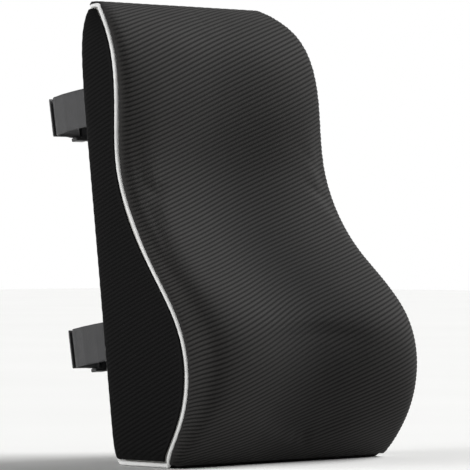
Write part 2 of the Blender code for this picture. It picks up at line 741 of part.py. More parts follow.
def add_slider(frame, nose, plate_low, top_low):
    """The slider: two plates joined by a web that runs in the split of the tapes and coils, and a bridge."""
    half = SLIDER_WIDTH / 2
    tail = nose + SLIDER_LENGTH
    top_high = top_low + PLATE_THICKNESS
    bottom = box_mesh("zip_slider", (nose, plate_low, -half), (tail, plate_low + PLATE_THICKNESS, half))
    slider = add_object("zip_slider", bottom, dark_metal, frame)
    join_with(slider, "slider_web", box_mesh(
        "slider_web", (nose + LAP, plate_low + LAP, -WEB_THICKNESS / 2),
        (tail - LAP, top_high - LAP, WEB_THICKNESS / 2)))
    join_with(slider, "slider_top", box_mesh("slider_top", (nose, top_low, -half), (tail, top_high, half)))
    middle = (nose + tail) / 2
    half = BRIDGE_WIDTH / 2
    arch_high = pin_depth(top_low) + PIN_RADIUS + FIT_GAP + BRIDGE_THICKNESS
    for side, sign in (("nose", -1), ("tail", 1)):
        near, far = middle + sign * BRIDGE_REACH, middle + sign * (BRIDGE_REACH + BRIDGE_LEG)
        join_with(slider, "slider_leg_" + side, box_mesh(
            "slider_leg_" + side, (min(near, far), top_high - LAP, -half), (max(near, far), arch_high, half)))
    reach = BRIDGE_REACH + BRIDGE_LEG / 2
    join_with(slider, "slider_arch", box_mesh(
        "slider_arch", (middle - reach, arch_high - BRIDGE_THICKNESS, LAP - half),
        (middle + reach, arch_high - LAP, half - LAP)))


def add_pull(frame, pin_x, pin_y):
    """The pull tab, with the pin that turns under the slider's bridge as its origin."""
    half_width, half_thick = PULL_WIDTH / 2, PULL_THICKNESS / 2
    tab = box_mesh("zip_pull", (0, -half_thick, -half_width), (PULL_LENGTH, half_thick, half_width))
    pull = add_object("zip_pull", tab, dark_metal, frame, (pin_x, pin_y, 0))
    round_edges(pull, PULL_ROUND)
    cut_with(pull, "pull_slot", (-OVERCUT, -OVERCUT, PULL_RAIL - half_width),
             (PULL_SLOT, OVERCUT, half_width - PULL_RAIL))
    bm = bmesh.new()
    bmesh.ops.create_cone(
        bm, cap_ends=True, segments=12, radius1=PIN_RADIUS, radius2=PIN_RADIUS, depth=PULL_WIDTH - 2 * LAP
    )
    join_with(pull, "pull_pin", mesh_from(bm, "pull_pin"))


clear_scene()
cushion = new_collection("lumbar_support_cushion")
guides = new_collection("guides", shown=False)
cutters = new_collection("cutters", shown=False)

foam = new_material("foam", (0.86, 0.83, 0.70), 0.9)
liner_cloth = new_material("liner_cloth", (0.80, 0.80, 0.80), 0.85)
front_mesh = new_material("front_mesh", (0.045, 0.045, 0.045), 0.75)
side_cloth = new_material("side_cloth", (0.012, 0.011, 0.011), 0.8)
white_piping = new_material("white_piping", (0.90, 0.90, 0.90), 0.55)
black_webbing = new_material("black_webbing", (0.035, 0.035, 0.035), 0.6)
black_plastic = new_material("black_plastic", (0.02, 0.02, 0.02), 0.35)
black_tape = new_material("black_tape", (0.02, 0.02, 0.02), 0.8)
black_coil = new_material("black_coil", (0.015, 0.015, 0.015), 0.4)
dark_metal = new_material("dark_metal", (0.10, 0.10, 0.10), 0.35, 1.0)

form = make_form()
core = add_object("foam_core", mesh_from(form.copy(), "foam_core"), foam)
for polygon in core.data.polygons:
    polygon.material_index = 0
round_shading(core.data)
add_liner(form, liner_cloth)
add_panel("front_panel", form, FRONT, MESH_THICKNESS, front_mesh)
add_panel("base_panel", form, BASE, MESH_THICKNESS, front_mesh)
add_panel("side_panel_left", form, LEFT, PLAIN_THICKNESS, side_cloth)
add_panel("side_panel_right", form, RIGHT, PLAIN_THICKNESS, side_cloth)

up_the_back = Vector((0, math.sin(LEAN), math.cos(LEAN)))
zip_spot = Vector((0, back_y(ZIP_HEIGHT), ZIP_HEIGHT))
for side, sign in (("upper", -1), ("lower", 1)):
    edge = zip_spot - sign * ZIP_GAP * up_the_back
    add_panel("back_panel_" + side, form, BACK, PLAIN_THICKNESS, side_cloth, (edge, sign * up_the_back))
for side, region in (("left", LEFT), ("right", RIGHT)):
    piping = tube_curve("piping_" + side, seam_loop(form, region), PIPING_RADIUS, 6, cyclic=True)
    add_object("piping_" + side, piping, white_piping)
add_strap("upper", form, CORE_HEIGHT - UPPER_STRAP_DROP)
add_strap("lower", form, LOWER_STRAP_HEIGHT)
add_zip(form)
form.free()
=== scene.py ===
import math

import bmesh
import bpy
import numpy as np
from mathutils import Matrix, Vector


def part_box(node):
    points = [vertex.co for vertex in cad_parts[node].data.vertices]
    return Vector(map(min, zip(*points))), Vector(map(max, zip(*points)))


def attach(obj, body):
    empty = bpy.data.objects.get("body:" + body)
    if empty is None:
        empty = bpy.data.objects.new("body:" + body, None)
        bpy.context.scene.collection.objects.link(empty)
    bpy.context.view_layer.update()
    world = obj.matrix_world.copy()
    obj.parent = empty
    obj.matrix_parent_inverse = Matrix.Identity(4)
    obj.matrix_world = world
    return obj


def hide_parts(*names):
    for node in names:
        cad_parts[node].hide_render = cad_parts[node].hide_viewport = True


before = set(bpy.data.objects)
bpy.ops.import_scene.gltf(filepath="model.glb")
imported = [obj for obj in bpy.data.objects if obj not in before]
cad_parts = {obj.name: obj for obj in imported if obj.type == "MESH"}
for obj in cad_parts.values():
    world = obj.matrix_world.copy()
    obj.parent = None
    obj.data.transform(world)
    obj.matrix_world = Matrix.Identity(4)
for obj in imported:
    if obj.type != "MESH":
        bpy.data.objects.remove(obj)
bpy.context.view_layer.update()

print("cushion: frame loaded")

# The cushion's form. Each section: share of the height, depth of the piped seam, roll, wing, channel and
# inset. The outer columns, stations and rows close the net.
cushion = {
    "height": 0.446,
    "floorGap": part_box("foam_core")[0][2],
    "floorRoom": 0.0002,
    "baseHalfWidth": 0.152,
    "sideTaper": 0.042,
    "lean": math.radians(9.5),
    "backFoot": 0.0045,
    "sideMoves": (0.0, 0.0, 0.0015, 0.0015, -0.006),
    "backCornerDepth": 0.008,
    "columns": (-1.0, -0.89, -0.52, 0.0, 0.52, 0.89, 1.0),
    "wingRise": (0.0, 0.85, 1.0, 1.0, 1.0, 0.85, 0.0),
    "channelShare": (0.0, 0.0, 0.0, 1.0, 0.0, 0.0, 0.0),
    "crownFade": (1.0, 0.6, 0.3, 0.0, 0.0),
    "sections": (
        (0.000, 0.071, 0.008, 0.000, 0.001, 0.005),
        (0.022, 0.078, 0.012, 0.002, 0.003, 0.000),
        (0.103, 0.104, 0.020, 0.006, 0.008, 0.000),
        (0.210, 0.116, 0.026, 0.014, 0.013, 0.000),
        (0.315, 0.1068, 0.028, 0.018, 0.016, 0.000),
        (0.416, 0.078, 0.021, 0.009, 0.013, 0.000),
        (0.517, 0.0545, 0.012, 0.005, 0.010, 0.000),
        (0.640, 0.0415, 0.010, 0.003, 0.008, 0.000),
        (0.764, 0.0498, 0.010, 0.003, 0.006, 0.000),
        (0.876, 0.0518, 0.009, 0.003, 0.004, 0.001),
        (0.954, 0.0378, 0.010, 0.003, 0.002, 0.006),
        (1.000, 0.008, 0.013, 0.000, 0.000, 0.022),
    ),
}


def backY(z):
    # the leaning back plane: foot plus height times the tangent of the lean
    return cushion["backFoot"] + z * math.tan(cushion["lean"])


def cagePoints():
    # cage point (column, station, row): across is column share times half width, forward is the station's
    # depth plus the crown faded round the edge, up is the section's share of the height
    share, depth, roll, wing, channel, inset = np.array(cushion["sections"]).T
    height = share * cushion["height"]
    z = cushion["floorGap"] + height
    behind = np.maximum(depth - roll, depth * 0.45)
    corner = np.minimum(cushion["backCornerDepth"], behind / 2)
    stations = np.stack([depth + roll, depth, behind, corner, np.zeros_like(depth)])
    rise = np.outer(cushion["wingRise"], wing) - np.outer(cushion["channelShare"], channel)
    fade = np.array(cushion["crownFade"])
    side = cushion["baseHalfWidth"] - cushion["sideTaper"] * height - inset
    side = side[None, :] + np.array(cushion["sideMoves"])[:, None]
    x = np.array(cushion["columns"])[:, None, None] * side[None]
    y = backY(z)[None, None] - stations[None] - rise[:, None, :] * fade[None, :, None]
    return np.stack([x, y, np.broadcast_to(z, x.shape)], axis=-1)


cage = cagePoints()
lastRow = cage.shape[2] - 1


def frontNet():
    # rows run from under the base, up the front and back over the top; columns run from left to right
    net = np.zeros((lastRow + 7, 11, 3))
    left = [cage[0, 3, 0], cage[0, 2, 0]]
    right = [cage[6, 2, 0], cage[6, 3, 0]]
    net[0] = np.vstack([left, cage[:, 1, 0], right])
    net[1:lastRow + 2] = np.stack(
        [cage[0, 2], cage[0, 1], *cage[:, 0], cage[6, 1], cage[6, 2]], axis=1)
    for step in range(1, 5):
        low = [cage[0, step, lastRow - 1], cage[0, step, lastRow]]
        far = [cage[6, step, lastRow], cage[6, step, lastRow - 1]]
        net[lastRow + 1 + step] = np.vstack([low, cage[:, step, lastRow], far])
    low = [cage[0, 3, lastRow - 1], cage[0, 4, lastRow - 1]]
    far = [cage[6, 4, lastRow - 1], cage[6, 3, lastRow - 1]]
    net[lastRow + 6] = np.vstack([low, cage[:, 4, lastRow - 1], far])
    return net


def sideNet(right):
    # rows run up, columns from the front edge round to the back, seen as the side's own outer face
    edge, near = (6, 5) if right else (0, 1)
    body = np.stack([cage[edge, 0], *cage[edge, 1:], cage[near, 4]], axis=1)
    low = np.vstack([[cage[near, 0, 0]], cage[near, :, 0][1:], [cage[near, 3, 0]]])
    far = [cage[near, 3, lastRow]]
    top = np.vstack([[cage[near, 0, lastRow]], cage[near, :, lastRow][1:], far])
    net = np.concatenate([low[None], body, top[None]])
    return net if right else net[:, ::-1]


def backNet():
    # rows run up, columns from the right side to the left, so that the outer face points back
    body = np.stack([cage[0, 3], *cage[:, 4], cage[6, 3]], axis=1)
    low = np.vstack([[cage[0, 3, 1]], cage[:, 3, 0], [cage[6, 3, 1]]])
    top = np.vstack([[cage[0, 3, lastRow - 1]], cage[:, 3, lastRow], [cage[6, 3, lastRow - 1]]])
    return np.concatenate([low[None], body, top[None]])[:, ::-1]


def baseNet():
    # rows run from the back edge to the front edge, columns across
    body = np.stack([cage[0, :, 1], *cage[:, :, 0], cage[6, :, 1]], axis=1)[::-1]
    before = np.vstack([[cage[0, 4, 1]], cage[:, 4, 1], [cage[6, 4, 1]]])
    after = np.vstack([[cage[0, 0, 1]], cage[:, 0, 1], [cage[6, 0, 1]]])
    return np.concatenate([before[None], body, after[None]])


def tightened(net):
    # each control point moves out by a 24th of its second difference, both ways
    out = net.copy()
    out[1:-1] -= (net[2:] - 2 * net[1:-1] + net[:-2]) / 24
    out[:, 1:-1] -= (net[:, 2:] - 2 * net[:, 1:-1] + net[:, :-2]) / 24
    return out


def splineWeights(values, count):
    # uniform cubic B-spline: how much each of the four nearest control points counts at each value
    cell = np.clip(np.floor(values).astype(int), 1, count - 3)
    t = values - cell
    basis = [(1 - t) ** 3, 3 * t**3 - 6 * t**2 + 4, -3 * t**3 + 3 * t**2 + 3 * t + 1, t**3]
    weights = np.zeros((len(values), count))
    for step, part in enumerate(basis):
        weights[np.arange(len(values)), cell + step - 1] = part / 6
    return weights


def surfacePoints(net, across, up):
    # the bicubic surface of a net at every pair of parameters
    rows, columns = net.shape[:2]
    return np.einsum("vr,rcx,uc->vux", splineWeights(up, rows), net, splineWeights(across, columns))


def unit(vectors):
    return vectors / np.maximum(np.linalg.norm(vectors, axis=-1, keepdims=True), 1e-12)


def gridNormals(points):
    # across tangent crossed with up tangent
    across = np.gradient(points, axis=1)
    up = np.gradient(points, axis=0)
    return unit(np.cross(across, up))


def evenValues(net, low, high, count, axis, other):
    # parameters whose points are evenly spaced on average along one axis of the net
    dense = np.linspace(low, high, 600)
    points = surfacePoints(net, other, dense) if axis == 0 else surfacePoints(net, dense, other)
    steps = np.linalg.norm(np.diff(points, axis=axis), axis=-1).mean(axis=1 - axis)
    length = np.concatenate([[0], np.cumsum(steps)])
    return np.interp(np.linspace(0, length[-1], count), length, dense)


def smoothStep(values):
    t = np.clip(values, 0, 1)
    return t * t * (3 - 2 * t)


def quadFaces(rows, columns, first=0, flip=False):
    index = first + np.arange(rows * columns).reshape(rows, columns)
    corners = [index[:-1, :-1], index[:-1, 1:], index[1:, 1:], index[1:, :-1]]
    faces = np.stack(corners, axis=-1).reshape(-1, 4)
    return faces[:, ::-1] if flip else faces


def borderRing(rows, columns, first=0):
    index = first + np.arange(rows * columns).reshape(rows, columns)
    return np.concatenate([index[0, :-1], index[:-1, -1], index[-1, :0:-1], index[:0:-1, 0]])


def newPiece(name, points, faces, material, body="root", smooth=True):
    mesh = bpy.data.meshes.new(name)
    points = points.reshape(-1, 3)
    points[:, 2] = np.maximum(points[:, 2], cushion["floorRoom"])  # nothing reaches below the floor
    mesh.from_pydata(points, [], faces)
    mesh.update()
    mesh.shade_smooth() if smooth else mesh.shade_flat()
    obj = bpy.data.objects.new(name, mesh)
    bpy.context.scene.collection.objects.link(obj)
    mesh.materials.append(material)
    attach(obj, body)
    return obj


def faceOutward(obj):
    mesh = bmesh.new()
    mesh.from_mesh(obj.data)
    bmesh.ops.recalc_face_normals(mesh, faces=mesh.faces)
    mesh.to_mesh(obj.data)
    mesh.free()


def pointValues(obj, name, values):
    layer = obj.data.attributes.new(name, "FLOAT", "POINT")
    layer.data.foreach_set("value", np.asarray(values, dtype=np.float32).ravel())


def clothMap(obj, values):
    # the piece's own map, in metres of cloth across and up
    layer = obj.data.uv_layers.new(name="cloth")
    loops = np.zeros(len(obj.data.loops), dtype=np.int32)
    obj.data.loops.foreach_get("vertex_index", loops)
    layer.data.foreach_set("uv", values.reshape(-1, 2)[loops].astype(np.float32).ravel())


def newMaterial(name, color, roughness, sheen=0.0, sheenRoughness=0.5, metallic=0.0, gloss=0.5):
    material = bpy.data.materials.new(name)
    material.use_nodes = True
    shader = material.node_tree.nodes["Principled BSDF"]
    shader.inputs["Base Color"].default_value = (*color, 1)
    shader.inputs["Roughness"].default_value = roughness
    shader.inputs["Metallic"].default_value = metallic
    shader.inputs["Specular IOR Level"].default_value = gloss
    shader.inputs["Sheen Weight"].default_value = sheen
    shader.inputs["Sheen Roughness"].default_value = sheenRoughness
    return material


def addNode(material, kind, **settings):
    node = material.node_tree.nodes.new(kind)
    for key, value in settings.items():
        if key in node.inputs:
            node.inputs[key].default_value = value
        else:
            setattr(node, key, value)
    return node


def join(material, source, target):
    material.node_tree.links.new(source, target)


def mathNode(material, operation, first, second=None):
    node = addNode(material, "ShaderNodeMath", operation=operation)
    for socket, value in zip(node.inputs, (first, second)):
        if isinstance(value, (int, float)):
            socket.default_value = value
        elif value is not None:
            join(material, value, socket)
    return node.outputs[0]


def colorMix(material, factor, first, second, blend="MIX"):
    node = addNode(material, "ShaderNodeMix", data_type="RGBA", blend_type=blend)
    for socket, value in ((node.inputs[0], factor), (node.inputs[6], first), (node.inputs[7], second)):
        if isinstance(value, (int, float)):
            socket.default_value = value
        elif isinstance(value, tuple):
            socket.default_value = (*value, 1)
        else:
            join(material, value, socket)
    return node.outputs[2]


def noiseValue(material, scale, detail=3.0, coordinates=None, stretch=None):
    noise = addNode(material, "ShaderNodeTexNoise", Scale=scale, Detail=detail)
    source = coordinates or addNode(material, "ShaderNodeTexCoord").outputs["Object"]
    if stretch:
        mapping = addNode(material, "ShaderNodeMapping")
        mapping.inputs["Scale"].default_value = stretch
        join(material, source, mapping.inputs["Vector"])
        source = mapping.outputs["Vector"]
    join(material, source, noise.inputs["Vector"])
    return noise.outputs[0]


def rangeValue(material, value, low, high, newLow, newHigh):
    node = addNode(material, "ShaderNodeMapRange")
    join(material, value, node.inputs[0])
    for socket, number in zip(list(node.inputs)[1:5], (low, high, newLow, newHigh)):
        socket.default_value = number
    return node.outputs[0]


def addBump(material, height, distance, strength=1.0):
    bump = addNode(material, "ShaderNodeBump", Strength=strength, Distance=distance)
    join(material, height, bump.inputs["Height"])
    join(material, bump.outputs[0], material.node_tree.nodes["Principled BSDF"].inputs["Normal"])


def setColor(material, source):
    join(material, source, material.node_tree.nodes["Principled BSDF"].inputs["Base Color"])


def tinted(material, color, shade):
    # a colour times one grey value
    grey = addNode(material, "ShaderNodeCombineColor")
    for socket in list(grey.inputs)[:3]:
        join(material, shade, socket)
    return colorMix(material, 1.0, color, grey.outputs[0], "MULTIPLY")


def setRoughness(material, source):
    join(material, source, material.node_tree.nodes["Principled BSDF"].inputs["Roughness"])


def weaveHeight(material, pitchAcross, pitchUp):
    # two sines of the cloth map multiplied: threads going over and under
    coords = addNode(material, "ShaderNodeUVMap", uv_map="cloth")
    split = addNode(material, "ShaderNodeSeparateXYZ")
    join(material, coords.outputs[0], split.inputs[0])
    waves = [
        mathNode(material, "SINE", mathNode(material, "MULTIPLY", split.outputs[axis], 2 * math.pi / pitch))
        for axis, pitch in enumerate((pitchAcross, pitchUp))
    ]
    return mathNode(material, "MULTIPLY", *waves)


def attributeValue(material, name):
    return addNode(material, "ShaderNodeAttribute", attribute_name=name).outputs["Fac"]


def ribbedMesh(name, gap, top, sheen):
    # knitted ribs: light tops, dark gaps, painted shade in a band at the seams and along the spine channel
    # and foot, and slow patches of wear
    material = newMaterial(name, top, 0.82, sheen, 0.45, gloss=0.12)
    rib = attributeValue(material, "rib")
    knit = rangeValue(material, weaveHeight(material, 0.0016, 0.0016), -1, 1, 0.80, 1.12)
    patch = rangeValue(material, noiseValue(material, 14.0), 0.3, 0.7, 0.90, 1.10)
    fuzz = rangeValue(material, noiseValue(material, 900.0, 2.0), 0.3, 0.7, 0.86, 1.14)
    # painted shade: the colour drops to 0.62 within a few millimetres of each seam, where the seam's shade
    # falls
    seamPaintedShade = rangeValue(material, attributeValue(material, "seamPaintedShade"), 0, 1, 1.0, 0.62)
    # painted shade: the colour drops to 0.3 along the spine channel and at the foot, where the shade falls
    spineAndFootPaintedShade = rangeValue(material, attributeValue(material, "spineAndFootPaintedShade"), 0, 1, 1.0, 0.3)
    cloth = mathNode(material, "MULTIPLY", knit, patch)
    # the painted seam shade times the painted channel and foot shade
    place = mathNode(material, "MULTIPLY", seamPaintedShade, spineAndFootPaintedShade)
    shade = mathNode(material, "MULTIPLY", cloth, mathNode(material, "MULTIPLY", fuzz, place))
    color = colorMix(material, rib, gap, top)
    setColor(material, tinted(material, color, shade))
    setRoughness(material, rangeValue(material, rib, 0, 1, 0.95, 0.74))
    addBump(material, knit, 0.0004, 0.6)
    return material


def plainCloth(name, color, sheen, pitch=0.0011, depth=0.0002, roughness=0.85, speckle=0.16, gloss=0.2):
    # plain woven cloth: threads over and under, slow colour patches and a little lint
    material = newMaterial(name, color, roughness, sheen, 0.5, gloss=gloss)
    weave = weaveHeight(material, pitch, pitch)
    shade = mathNode(
        material, "MULTIPLY",
        rangeValue(material, weave, -1, 1, 1 - speckle, 1 + speckle),
        rangeValue(material, noiseValue(material, 18.0), 0.3, 0.7, 0.88, 1.12))
    setColor(material, tinted(material, color, shade))
    lint = noiseValue(material, 120.0)
    setRoughness(material, rangeValue(material, lint, 0.3, 0.7, roughness - 0.08, roughness + 0.06))
    addBump(material, weave, depth, 0.7)
    return material


def mouldedPlastic(name, color, roughness):
    # moulded plastic: fine grain, a worn lighter tone in patches
    material = newMaterial(name, color, roughness)
    wear = rangeValue(material, noiseValue(material, 90.0, 4.0), 0.45, 0.75, 0.0, 1.0)
    setColor(material, colorMix(material, wear, color, tuple(c * 1.7 + 0.004 for c in color)))
    grain = noiseValue(material, 400.0)
    setRoughness(material, rangeValue(material, grain, 0.3, 0.7, roughness - 0.07, roughness + 0.1))
    addBump(material, noiseValue(material, 2600.0, 2.0), 0.00006, 0.6)
    return material


def brushedMetal(name, color, roughness):
    # plated metal: fine lengthwise brushing and a few dull patches
    material = newMaterial(name, color, roughness, metallic=1.0)
    brush = noiseValue(material, 300.0, 3.0, stretch=(0.1, 1.0, 1.0))
    share = rangeValue(material, brush, 0.3, 0.7, 0, 1)
    setColor(material, colorMix(material, share, color, tuple(c * 1.5 for c in color)))
    dull = noiseValue(material, 60.0)
    setRoughness(material, rangeValue(material, dull, 0.3, 0.7, roughness - 0.08, roughness + 0.14))
    addBump(material, brush, 0.00004, 0.5)
    return material


frontCloth = ribbedMesh("frontMesh", (0.0058, 0.0056, 0.0056), (0.036, 0.0347, 0.0335), 0.04)
sideCloth = ribbedMesh("sideCloth", (0.0015, 0.0015, 0.0016), (0.0026, 0.0025, 0.0026), 0.006)
backCloth = plainCloth("backCloth", (0.0095, 0.0095, 0.0105), 0.06, 0.0013)
pipingCloth = plainCloth("pipingCloth", (0.80, 0.80, 0.79), 0.15, 0.0008, 0.00012, 0.62, 0.05)
webbingCloth = plainCloth("webbingCloth", (0.040, 0.040, 0.042), 0.12, 0.0009, 0.00012, 0.5, 0.12, gloss=0.4)
tapeCloth = plainCloth("tapeCloth", (0.011, 0.011, 0.012), 0.08, 0.0008, 0.00012, 0.8, 0.14)
threadCloth = plainCloth("threadCloth", (0.026, 0.026, 0.028), 0.2, 0.0006, 0.00008, 0.6, 0.1)
linerCloth = plainCloth("linerCloth", (0.62, 0.61, 0.58), 0.1, 0.0016, 0.0002, 0.9, 0.06)
coilNylon = mouldedPlastic("coilNylon", (0.012, 0.012, 0.013), 0.36)
bucklePlastic = mouldedPlastic("bucklePlastic", (0.014, 0.014, 0.015), 0.34)
darkMetal = brushedMetal("darkMetal", (0.10, 0.10, 0.105), 0.38)


def openFoam():
    # open-cell foam: round cells of many sizes, cream with darker pores
    material = newMaterial("openFoam", (0.62, 0.58, 0.45), 0.95)
    cells = addNode(material, "ShaderNodeTexVoronoi", Scale=420.0)
    join(material, addNode(material, "ShaderNodeTexCoord").outputs["Object"], cells.inputs["Vector"])
    pores = rangeValue(material, cells.outputs["Distance"], 0.0, 0.7, 0.0, 1.0)
    setColor(material, colorMix(material, pores, (0.40, 0.36, 0.26), (0.66, 0.62, 0.48)))
    addBump(material, pores, 0.0008, 0.8)
    return material


foamCells = openFoam()

cover = {
    "lift": 0.0016,  # foam to the panel's inner face
    "meshThickness": 0.003,
    "plainThickness": 0.0016,
    "ribDirection": math.radians(19.5),
    "sideRibDirection": math.radians(25.0),
    "ribPitch": 0.0042,
    "ribHeight": 0.00045,
    "sideRibHeight": 0.00016,
    "pipingRoom": 0.0035,
    "strapRoom": 0.0006,
    "seamRoom": 0.0008,
    "puffCap": 0.0022,
    # where the painted shade lies: the spine channel's half width, height and reach, and the foot's depth
    # and reach
    "shadeHalfWidth": 0.075,
    "shadeHeight": 0.19,
    "shadeReach": 0.15,
    "footShade": 0.35,
    "footReach": 0.12,
}


def ribWave(phase):
    # a rounded rib with a narrow gap: one minus the fourth power of a cosine
    return 1 - np.cos(np.pi * phase) ** 4


def clothCoordinates(points):
    # lengths of cloth from the middle column sideways and from the bottom row up
    across = np.linalg.norm(np.diff(points, axis=1), axis=-1)
    across = np.concatenate([np.zeros((len(points), 1)), np.cumsum(across, axis=1)], axis=1)
    across -= across[:, across.shape[1] // 2][:, None]
    up = np.linalg.norm(np.diff(points, axis=0), axis=-1)
    up = np.concatenate([np.zeros((1, points.shape[1])), np.cumsum(up, axis=0)])
    return across, up


def borderDistance(points):
    # shortest way along the two grid directions to each of the four borders
    across, up = clothCoordinates(points)
    return [across - across[:, :1], across[:, -1:] - across, up, up[-1:] - up]


def shellPiece(name, outer, inner, stride, material):
    # an outer grid, a coarser inner grid, and a rim of faces that joins them all round
    rows, columns = outer.shape[:2]
    coarse = inner[::stride, ::stride]
    count = rows * columns
    faces = quadFaces(rows, columns).tolist()
    faces += quadFaces(*coarse.shape[:2], first=count, flip=True).tolist()
    ring = borderRing(rows, columns).reshape(-1, stride)
    low = borderRing(*coarse.shape[:2], first=count)[:, None]
    after = [np.roll(low, -1, axis=0), np.roll(ring[:, :1], -1, axis=0)]
    rim = np.concatenate([*after, ring[:, ::-1], low], axis=1)
    faces += rim.tolist()
    points = np.concatenate([outer.reshape(-1, 3), coarse.reshape(-1, 3)])
    return newPiece(name, points, faces, material), count


def gathers(distance, along, depth, pitch=0.011):
    # small gathers at a seam: sines along it that die out within about a centimetre
    wave = np.sin(2 * np.pi * along / pitch + 1.3 * np.sin(along / 0.037)) + 0.4 * np.sin(along / 0.0029)
    return depth * wave * np.exp(-((distance / 0.006) ** 2))


def coverPanel(name, net, across, up, size, thickness, material, rooms, ribHeight, direction,
               stride=4, puffed=None, ribAxis=0, gatherDepth=0.0002):
    # the form's surface, lifted by the layers below it, with ribs, gathers and a soft rolled edge
    net = tightened(net)
    coarseAcross = np.linspace(*across, 40)
    coarseUp = np.linspace(*up, 80)
    us = evenValues(net, *across, size[0], 1, coarseUp)
    vs = evenValues(net, *up, size[1], 0, coarseAcross)
    # the borders step back from the seams by the room the piping or the next panel needs
    base = surfacePoints(net, us, vs)
    acrossLength, upLength = clothCoordinates(base)
    width = (acrossLength[:, -1] - acrossLength[:, 0])[:, None]
    left, right, low, high = rooms
    target = left + (width - left - right) * np.linspace(0, 1, size[0])[None, :]
    own = acrossLength - acrossLength[:, :1]
    indices = np.stack([np.interp(target[row], own[row], us) for row in range(size[1])])
    height = upLength[-1].mean()
    vs = np.interp(np.linspace(low, height - high, size[1]), upLength.mean(axis=1), vs)
    weightsUp = splineWeights(vs, net.shape[0])
    lines = np.einsum("vr,rcx->vcx", weightsUp, net)
    flat = splineWeights(indices.ravel(), net.shape[1]).reshape(size[1], size[0], -1)
    base = np.einsum("vuc,vcx->vux", flat, lines)
    normals = gridNormals(base)
    acrossLength, upLength = clothCoordinates(base)
    sides = borderDistance(base)
    nearest = np.minimum.reduce(sides)
    # the ribs run straight over the panel: up along the middle of the cloth, sideways along one axis
    middle, quarter = size[0] // 2, size[0] // 4
    middleUp = upLength[:, middle - quarter:middle + quarter + 1].mean(axis=1)[:, None]
    sideways = base[..., 1] if ribAxis == 1 else acrossLength
    phase = (middleUp * math.cos(direction) - sideways * math.sin(direction)) / cover["ribPitch"]
    rib = ribWave(phase)
    seamFade = smoothStep((nearest - 0.0015) / 0.004)
    relief = ribHeight * (rib - 1) * seamFade
    relief += gathers(np.minimum(sides[0], sides[1]), upLength, gatherDepth)
    relief += gathers(np.minimum(sides[2], sides[3]), acrossLength, gatherDepth)
    if puffed is not None:
        relief += puffed(np.linspace(0, 1, size[0]), np.linspace(0, 1, size[1]))
    # a quarter circle rolls the edge over
    inward = 1 - np.clip(nearest / (thickness * 0.8), 0, 1)
    roll = thickness * 0.55 * (1 - np.sqrt(np.clip(1 - inward ** 2, 0, 1)))
    outer = base + normals * (cover["lift"] + thickness + relief - roll)[..., None]
    inner = base + normals * (cover["lift"] + 0.0001)
    obj, count = shellPiece(name, outer, inner, stride, material)
    extra = len(obj.data.vertices) - count
    pointValues(obj, "rib", np.concatenate([(1 - (1 - rib) * seamFade).ravel(), np.ones(extra)]))
    # painted shade: the cloth's colour is darkened along the spine channel, a bell across times a bell up,
    # and at the foot, standing in for the shade that falls there
    away = outer[..., 0] / cover["shadeHalfWidth"]
    rise = (outer[..., 2] - cover["shadeHeight"]) / cover["shadeReach"]
    foot = cover["footShade"] * np.exp(-((outer[..., 2] / cover["footReach"]) ** 2))
    spineAndFootPaintedShade = np.exp(-away ** 2 - rise ** 2) + foot
    pointValues(obj, "spineAndFootPaintedShade", np.concatenate([spineAndFootPaintedShade.ravel(), np.zeros(extra)]))
    # painted shade beside the seams: one at a seam, fading to nothing a few millimetres in
    pointValues(obj, "seamPaintedShade", np.concatenate([(1 - seamFade).ravel(), np.ones(extra)]))
    flatMap = np.stack([acrossLength, upLength], axis=-1)
    cosine, sine = math.cos(direction), math.sin(direction)
    flatMap = flatMap @ np.array([[cosine, -sine], [sine, cosine]])
    coarseMap = flatMap[::stride, ::stride]
    clothMap(obj, np.concatenate([flatMap.reshape(-1, 2), coarseMap.reshape(-1, 2)]))
    return obj


puff = {"size": (49, 97), "pressure": 4.0, "tension": 20, "bending": 2.0, "steps": 20}


def clothPuff(net, across, up):
    # a cloth sheet pinned at its seams and blown out by pressure; gives its capped rise at any two shares
    size = puff["size"]
    us = evenValues(net, *across, size[0], 1, np.linspace(*up, 60))
    vs = evenValues(net, *up, size[1], 0, np.linspace(*across, 30))
    points = surfacePoints(net, us, vs)
    normals = gridNormals(points)
    sheet = newPiece("puffSheet", points, quadFaces(size[1], size[0]).tolist(), frontCloth)
    pins = sheet.vertex_groups.new(name="seams")
    pins.add(borderRing(size[1], size[0]).tolist(), 1.0, "REPLACE")
    cloth = sheet.modifiers.new("puff", "CLOTH")
    cloth.settings.use_pressure = True
    cloth.settings.uniform_pressure_force = puff["pressure"]
    cloth.settings.vertex_group_mass = "seams"
    cloth.settings.tension_stiffness = puff["tension"]
    cloth.settings.bending_stiffness = puff["bending"]
    cloth.settings.effector_weights.gravity = 0
    cloth.point_cache.frame_start = 1
    cloth.point_cache.frame_end = puff["steps"]
    for step in range(1, puff["steps"] + 1):
        bpy.context.scene.frame_set(step)
    graph = bpy.context.evaluated_depsgraph_get()
    moved = np.zeros(len(sheet.data.vertices) * 3)
    sheet.evaluated_get(graph).data.vertices.foreach_get("co", moved)
    bpy.context.scene.frame_set(1)
    rise = ((moved.reshape(points.shape) - points) * normals).sum(axis=-1)
    print(f"cushion: cloth rose by up to {rise.max() * 1000:.1f} mm")
    rise = cover["puffCap"] * np.tanh(rise / cover["puffCap"])
    mesh = sheet.data
    bpy.data.objects.remove(sheet)
    bpy.data.meshes.remove(mesh)

    def riseAt(acrossShare, upShare):
        spots, heights = np.linspace(0, 1, size[0]), np.linspace(0, 1, size[1])
        rows = np.stack([np.interp(acrossShare, spots, row) for row in rise])
        return np.stack([np.interp(upShare, heights, column) for column in rows.T], axis=1)

    return riseAt


frontPuff = None
frontPuff = clothPuff(tightened(frontNet()), (1, 9), (1, lastRow + 5))

frontCover = coverPanel(
    "frontCover", frontNet(), (1, 9), (1, lastRow + 5), (161, 553), cover["meshThickness"], frontCloth,
    (cover["pipingRoom"], cover["pipingRoom"], cover["seamRoom"], cover["seamRoom"]),
    cover["ribHeight"], cover["ribDirection"], puffed=frontPuff)
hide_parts("front_panel")
print("cushion: front cover")

